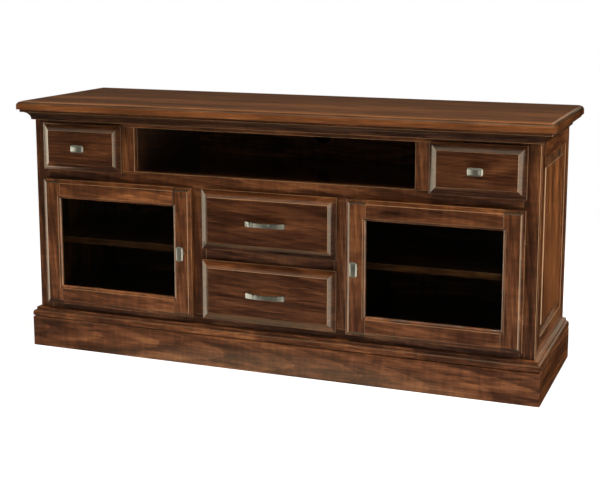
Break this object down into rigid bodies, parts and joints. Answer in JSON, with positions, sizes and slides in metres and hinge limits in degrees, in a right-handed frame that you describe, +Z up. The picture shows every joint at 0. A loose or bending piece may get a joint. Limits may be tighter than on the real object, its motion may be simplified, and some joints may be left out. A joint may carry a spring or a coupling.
{
  "type": "tv console",
  "caption": "Low stained-wood media console with hinged glass doors, sliding drawers, an open equipment bay and a rounded tabletop on a moulded plinth.",
  "frame": {"origin": "on the floor, at the middle of the overall width and depth", "axes": "+X to the right along the front, +Y to the back (the front looks to -Y), +Z up"},
  "size_m": [1.676, 0.5235, 0.792],
  "materials": {
    "stained_wood": "dark red-brown stain under satin lacquer",
    "drawer_wood": "clear lacquer",
    "plywood": "sanded",
    "glass": "clear float glass",
    "satin_nickel": "satin",
    "hinge_nickel": "plated",
    "slide_steel": "zinc plated"
  },
  "bodies": {
    "cabinet": {"tabletop": "stained_wood", "crown_moulding": "stained_wood", "plinth": "stained_wood", "base_cap": "stained_wood", "frame_end_stiles": "stained_wood", "frame_top_rail": "stained_wood", "frame_middle_rail": "stained_wood", "frame_bottom_rail": "stained_wood", "frame_drawer_rail": "stained_wood", "frame_upper_stiles": "stained_wood", "frame_lower_stiles": "stained_wood", "left_side_frame": "stained_wood", "left_side_panel": "stained_wood", "right_side_frame": "stained_wood", "right_side_panel": "stained_wood", "bottom_deck": "stained_wood", "middle_deck": "stained_wood", "top_stretchers": "stained_wood", "upper_partitions": "stained_wood", "lower_partitions": "stained_wood", "back_panel": "plywood", "left_shelf": "stained_wood", "right_shelf": "stained_wood", "shelf_pins": "hinge_nickel", "slide_packing": "plywood", "cabinet_slides": "slide_steel", "hinge_arms": "hinge_nickel", "hinge_screws": "hinge_nickel"},
    "left_door": {"left_door_stiles": "stained_wood", "left_door_rails": "stained_wood", "left_door_glass": "glass", "left_door_beads": "stained_wood", "left_door_knob": "satin_nickel", "left_door_hinge_cups": "hinge_nickel"},
    "right_door": {"right_door_stiles": "stained_wood", "right_door_rails": "stained_wood", "right_door_glass": "glass", "right_door_beads": "stained_wood", "right_door_knob": "satin_nickel", "right_door_hinge_cups": "hinge_nickel"},
    "left_drawer": {"left_drawer_front": "stained_wood", "left_drawer_box": "drawer_wood", "left_drawer_bottom": "plywood", "left_drawer_knob": "satin_nickel", "left_drawer_runners": "slide_steel"},
    "right_drawer": {"right_drawer_front": "stained_wood", "right_drawer_box": "drawer_wood", "right_drawer_bottom": "plywood", "right_drawer_knob": "satin_nickel", "right_drawer_runners": "slide_steel"},
    "upper_drawer": {"upper_drawer_front": "stained_wood", "upper_drawer_box": "drawer_wood", "upper_drawer_bottom": "plywood", "upper_drawer_pull": "satin_nickel", "upper_drawer_runners": "slide_steel"},
    "lower_drawer": {"lower_drawer_front": "stained_wood", "lower_drawer_box": "drawer_wood", "lower_drawer_bottom": "plywood", "lower_drawer_pull": "satin_nickel", "lower_drawer_runners": "slide_steel"}
  },
  "joints": [
    {"name": "left_door_swing", "type": "hinge", "parent": "cabinet", "child": "left_door", "pos_m": [-0.7555, -0.22375, 0.3475], "axis": [0, 0, -1], "range_deg": [0, 105]},
    {"name": "right_door_swing", "type": "hinge", "parent": "cabinet", "child": "right_door", "pos_m": [0.7555, -0.22375, 0.3475], "axis": [0, 0, 1], "range_deg": [0, 105]},
    {"name": "left_drawer_slide", "type": "slide", "parent": "cabinet", "child": "left_drawer", "axis": [0, -1, 0], "range_m": [0, 0.3]},
    {"name": "right_drawer_slide", "type": "slide", "parent": "cabinet", "child": "right_drawer", "axis": [0, -1, 0], "range_m": [0, 0.3]},
    {"name": "upper_drawer_slide", "type": "slide", "parent": "cabinet", "child": "upper_drawer", "axis": [0, -1, 0], "range_m": [0, 0.3]},
    {"name": "lower_drawer_slide", "type": "slide", "parent": "cabinet", "child": "lower_drawer", "axis": [0, -1, 0], "range_m": [0, 0.3]}
  ]
}
